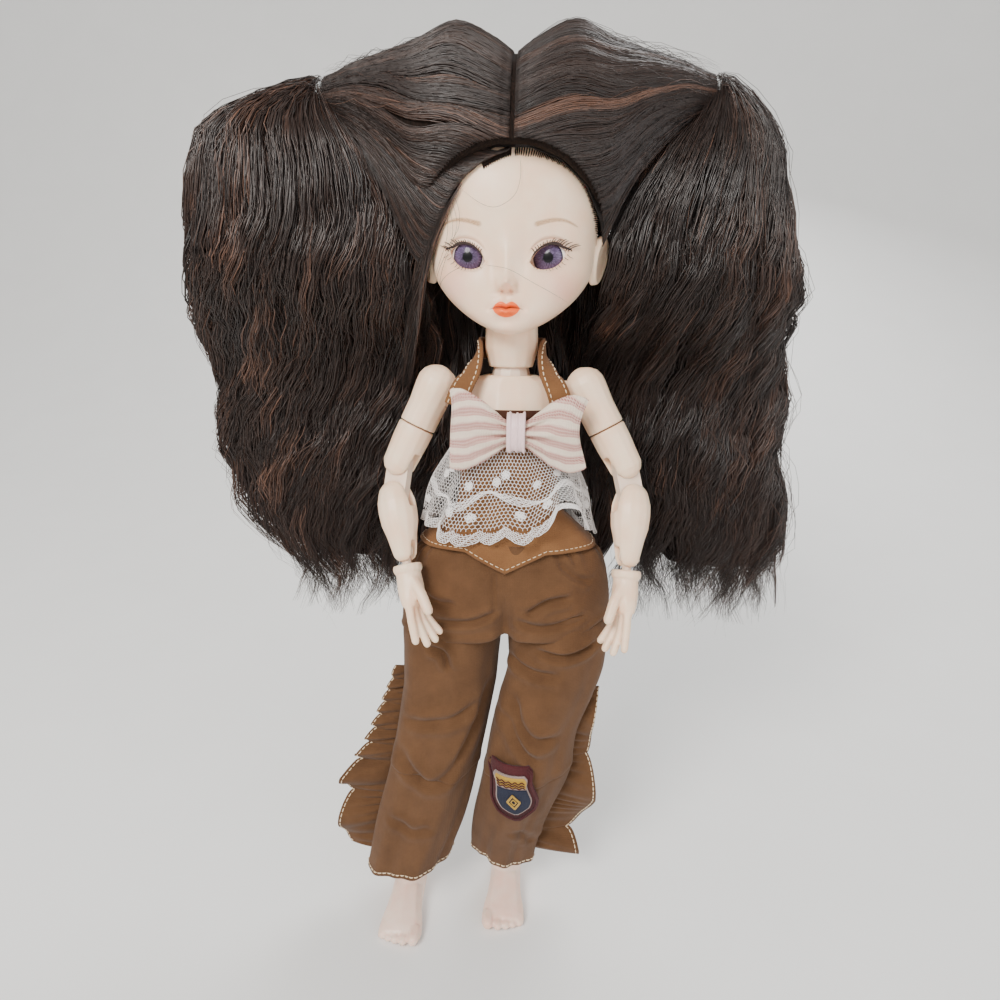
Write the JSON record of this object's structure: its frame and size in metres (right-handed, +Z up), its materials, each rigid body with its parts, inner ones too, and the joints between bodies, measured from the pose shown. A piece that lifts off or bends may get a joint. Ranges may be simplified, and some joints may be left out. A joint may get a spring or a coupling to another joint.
{
  "type": "ball jointed doll",
  "caption": "Standing fashion doll with hinged and ball jointed body, large head with eyes that lift out, bunched wig, halter top with bow and lace, and frilled trousers.",
  "frame": {"origin": "on the floor under the middle of the doll's outer box, hair included", "axes": "+Z up from the soles to the hair, -Y the way the face looks, +X the doll's own left"},
  "size_m": [0.2216, 0.0822, 0.3207],
  "materials": {
    "skin": "matte cream resin",
    "joint_plastic": "matte cream plastic",
    "eye_acrylic": "clear glossy acrylic over a violet iris",
    "hair": "dark brown wavy synthetic fibre",
    "wig_net": "stretch net",
    "elastic": "clear elastic",
    "brown_cotton": "plain weave cotton with cream topstitching",
    "white_lace": "net lace",
    "striped_twill": "diagonal striped twill",
    "pink_satin": "satin",
    "badge_felt": "embroidered felt"
  },
  "bodies": {
    "pelvis": {"pelvis": "skin", "trouser_seat": "brown_cotton"},
    "waist_ball": {"waist_ball": "joint_plastic"},
    "chest": {"chest": "skin", "vest": "brown_cotton", "strap_R": "brown_cotton", "strap_L": "brown_cotton", "lace_peplum": "white_lace", "bow": "striped_twill", "bow_knot": "pink_satin"},
    "neck_ball": {"neck_ball": "joint_plastic"},
    "neck": {"neck_post": "skin"},
    "head": {"face_shell": "skin", "head_cap": "skin", "eye_R": "eye_acrylic", "eye_L": "eye_acrylic", "wig_cap": "wig_net", "hair_crown": "hair", "hair_bunch_R": "hair", "hair_bunch_L": "hair", "hair_tie_R": "elastic", "hair_tie_L": "elastic", "hair_back": "hair"},
    "shoulder_disc_R": {"shoulder_disc_R": "joint_plastic"},
    "upper_arm_R": {"upper_arm_R": "skin"},
    "elbow_sleeve_R": {"elbow_sleeve_R": "skin"},
    "elbow_link_R": {"elbow_link_R": "joint_plastic"},
    "forearm_R": {"forearm_R": "skin"},
    "wrist_peg_R": {"wrist_peg_R": "joint_plastic"},
    "hand_R": {"hand_R": "skin"},
    "hip_disc_R": {"hip_disc_R": "joint_plastic"},
    "thigh_R": {"thigh_R": "skin", "trouser_upper_R": "brown_cotton", "ruffle_upper_R": "brown_cotton"},
    "knee_sleeve_R": {"knee_sleeve_R": "skin"},
    "knee_link_R": {"knee_link_R": "joint_plastic"},
    "shin_R": {"shin_R": "skin", "trouser_lower_R": "brown_cotton", "ruffle_lower_R": "brown_cotton"},
    "ankle_ball_R": {"ankle_ball_R": "joint_plastic"},
    "foot_R": {"foot_R": "skin"},
    "shoulder_disc_L": {"shoulder_disc_L": "joint_plastic"},
    "upper_arm_L": {"upper_arm_L": "skin"},
    "elbow_sleeve_L": {"elbow_sleeve_L": "skin"},
    "elbow_link_L": {"elbow_link_L": "joint_plastic"},
    "forearm_L": {"forearm_L": "skin"},
    "wrist_peg_L": {"wrist_peg_L": "joint_plastic"},
    "hand_L": {"hand_L": "skin"},
    "hip_disc_L": {"hip_disc_L": "joint_plastic"},
    "thigh_L": {"thigh_L": "skin", "trouser_upper_L": "brown_cotton", "ruffle_upper_L": "brown_cotton"},
    "knee_sleeve_L": {"knee_sleeve_L": "skin"},
    "knee_link_L": {"knee_link_L": "joint_plastic"},
    "shin_L": {"shin_L": "skin", "trouser_lower_L": "brown_cotton", "ruffle_lower_L": "brown_cotton", "badge": "badge_felt"},
    "ankle_ball_L": {"ankle_ball_L": "joint_plastic"},
    "foot_L": {"foot_L": "skin"}
  },
  "joints": [
    {"name": "waist_turn", "type": "hinge", "parent": "pelvis", "child": "waist_ball", "pos_m": [0.00405, -0.00938, 0.168], "axis": [0, 0, 1], "range_deg": [-35, 35], "deforming": ["trouser_seat"]},
    {"name": "waist_bend", "type": "hinge", "parent": "waist_ball", "child": "chest", "pos_m": [0.00405, -0.00938, 0.168], "axis": [1, 0, 0], "range_deg": [-14, 14], "deforming": ["vest", "lace_peplum"]},
    {"name": "neck_tilt", "type": "hinge", "parent": "chest", "child": "neck_ball", "pos_m": [0.00405, -0.00738, 0.2155], "axis": [0, 1, 0], "range_deg": [-12, 12]},
    {"name": "neck_nod", "type": "hinge", "parent": "neck_ball", "child": "neck", "pos_m": [0.00405, -0.00738, 0.2155], "axis": [1, 0, 0], "range_deg": [-12, 14], "deforming": ["strap_R", "strap_L"]},
    {"name": "head_turn", "type": "hinge", "parent": "neck", "child": "head", "pos_m": [0.00405, -0.00738, 0.2395], "axis": [0, 0, 1], "range_deg": [-80, 80], "deforming": ["hair_bunch_R", "hair_bunch_L", "hair_back"]},
    {"name": "shoulder_swing_R", "type": "hinge", "parent": "chest", "child": "shoulder_disc_R", "pos_m": [-0.02144, -0.00938, 0.2125], "axis": [-1, 0, 0], "range_deg": [-8, 110]},
    {"name": "shoulder_raise_R", "type": "hinge", "parent": "shoulder_disc_R", "child": "upper_arm_R", "pos_m": [-0.02144, -0.00938, 0.2125], "axis": [0, 0.9877, -0.1564], "range_deg": [-18, 76]},
    {"name": "upper_arm_twist_R", "type": "hinge", "parent": "upper_arm_R", "child": "elbow_sleeve_R", "pos_m": [-0.02144, -0.00938, 0.2125], "axis": [0.4226, 0.1418, 0.8951], "range_deg": [-60, 20]},
    {"name": "elbow_upper_R", "type": "hinge", "parent": "elbow_sleeve_R", "child": "elbow_link_R", "pos_m": [-0.03374, -0.01351, 0.18645], "axis": [-0.31, -0.9055, 0.2898], "range_deg": [-20, 45]},
    {"name": "elbow_lower_R", "type": "hinge", "parent": "elbow_link_R", "child": "forearm_R", "pos_m": [-0.0351, -0.01696, 0.1742], "axis": [-0.31, -0.9055, 0.2898], "range_deg": [-20, 45]},
    {"name": "wrist_bend_R", "type": "hinge", "parent": "forearm_R", "child": "wrist_peg_R", "pos_m": [-0.03078, -0.02402, 0.15677], "axis": [-0.31, -0.9055, 0.2898], "range_deg": [-35, 35]},
    {"name": "wrist_turn_R", "type": "hinge", "parent": "wrist_peg_R", "child": "hand_R", "pos_m": [-0.02973, -0.02574, 0.15252], "axis": [-0.2237, 0.3657, 0.9035], "range_deg": [-80, 80]},
    {"name": "hip_swing_R", "type": "hinge", "parent": "pelvis", "child": "hip_disc_R", "pos_m": [-0.00894, -0.00938, 0.128], "axis": [-1, 0, 0], "range_deg": [-30, 60]},
    {"name": "hip_spread_R", "type": "hinge", "parent": "hip_disc_R", "child": "thigh_R", "pos_m": [-0.00894, -0.00938, 0.128], "axis": [0, 0.9998, -0.0175], "range_deg": [-6, 45], "deforming": ["trouser_upper_R", "ruffle_upper_R"]},
    {"name": "thigh_twist_R", "type": "hinge", "parent": "thigh_R", "child": "knee_sleeve_R", "pos_m": [-0.00894, -0.00938, 0.128], "axis": [0.2248, 0.0519, 0.973], "range_deg": [-30, 35]},
    {"name": "knee_upper_R", "type": "hinge", "parent": "knee_sleeve_R", "child": "knee_link_R", "pos_m": [-0.02014, -0.01197, 0.07955], "axis": [0.9744, -0.0039, -0.2249], "range_deg": [-2, 60]},
    {"name": "knee_lower_R", "type": "hinge", "parent": "knee_link_R", "child": "shin_R", "pos_m": [-0.02338, -0.01221, 0.06552], "axis": [0.9744, -0.0039, -0.2249], "range_deg": [-2, 60], "deforming": ["trouser_lower_R", "ruffle_lower_R"]},
    {"name": "ankle_bend_R", "type": "hinge", "parent": "shin_R", "child": "ankle_ball_R", "pos_m": [-0.03458, -0.01132, 0.017], "axis": [0.9744, -0.0039, -0.2249], "range_deg": [-25, 25]},
    {"name": "ankle_tilt_R", "type": "hinge", "parent": "ankle_ball_R", "child": "foot_R", "pos_m": [-0.03458, -0.01132, 0.017], "axis": [0, 1, 0], "range_deg": [-14, 14]},
    {"name": "shoulder_swing_L", "type": "hinge", "parent": "chest", "child": "shoulder_disc_L", "pos_m": [0.02956, -0.00938, 0.2125], "axis": [-1, 0, 0], "range_deg": [-50, 110]},
    {"name": "shoulder_raise_L", "type": "hinge", "parent": "shoulder_disc_L", "child": "upper_arm_L", "pos_m": [0.02956, -0.00938, 0.2125], "axis": [0, -0.9877, 0.1564], "range_deg": [-22, 76]},
    {"name": "upper_arm_twist_L", "type": "hinge", "parent": "upper_arm_L", "child": "elbow_sleeve_L", "pos_m": [0.02956, -0.00938, 0.2125], "axis": [0.4848, -0.1368, -0.8639], "range_deg": [-60, 60]},
    {"name": "elbow_upper_L", "type": "hinge", "parent": "elbow_sleeve_L", "child": "elbow_link_L", "pos_m": [0.04366, -0.01336, 0.18736], "axis": [-0.2991, 0.9022, -0.3108], "range_deg": [-17, 45]},
    {"name": "elbow_lower_L", "type": "hinge", "parent": "elbow_link_L", "child": "forearm_L", "pos_m": [0.04652, -0.01657, 0.17531], "axis": [-0.2991, 0.9022, -0.3108], "range_deg": [-17, 45]},
    {"name": "wrist_bend_L", "type": "hinge", "parent": "forearm_L", "child": "wrist_peg_L", "pos_m": [0.04541, -0.02317, 0.15721], "axis": [-0.2991, 0.9022, -0.3108], "range_deg": [-35, 35]},
    {"name": "wrist_turn_L", "type": "hinge", "parent": "wrist_peg_L", "child": "hand_L", "pos_m": [0.04514, -0.02478, 0.1528], "axis": [0.0577, 0.3422, 0.9379], "range_deg": [-80, 80]},
    {"name": "hip_swing_L", "type": "hinge", "parent": "pelvis", "child": "hip_disc_L", "pos_m": [0.01706, -0.00938, 0.128], "axis": [-1, 0, 0], "range_deg": [-30, 75]},
    {"name": "hip_spread_L", "type": "hinge", "parent": "hip_disc_L", "child": "thigh_L", "pos_m": [0.01706, -0.00938, 0.128], "axis": [0, -0.9977, -0.068], "range_deg": [0, 45], "deforming": ["trouser_upper_L", "ruffle_upper_L"]},
    {"name": "thigh_twist_L", "type": "hinge", "parent": "thigh_L", "child": "knee_sleeve_L", "pos_m": [0.01706, -0.00938, 0.128], "axis": [-0.1023, -0.1389, -0.985], "range_deg": [-30, 35]},
    {"name": "knee_upper_L", "type": "hinge", "parent": "knee_sleeve_L", "child": "knee_link_L", "pos_m": [0.01196, -0.0163, 0.07895], "axis": [0.9945, 0.0071, -0.1043], "range_deg": [-11, 60]},
    {"name": "knee_lower_L", "type": "hinge", "parent": "knee_link_L", "child": "shin_L", "pos_m": [0.01046, -0.01533, 0.06466], "axis": [0.9945, 0.0071, -0.1043], "range_deg": [-11, 60], "deforming": ["trouser_lower_L", "ruffle_lower_L", "badge"]},
    {"name": "ankle_bend_L", "type": "hinge", "parent": "shin_L", "child": "ankle_ball_L", "pos_m": [0.00536, -0.00181, 0.017], "axis": [0.9945, 0.0071, -0.1043], "range_deg": [-18, 25]},
    {"name": "ankle_tilt_L", "type": "hinge", "parent": "ankle_ball_L", "child": "foot_L", "pos_m": [0.00536, -0.00181, 0.017], "axis": [0, 1, 0], "range_deg": [-14, 14]}
  ]
}
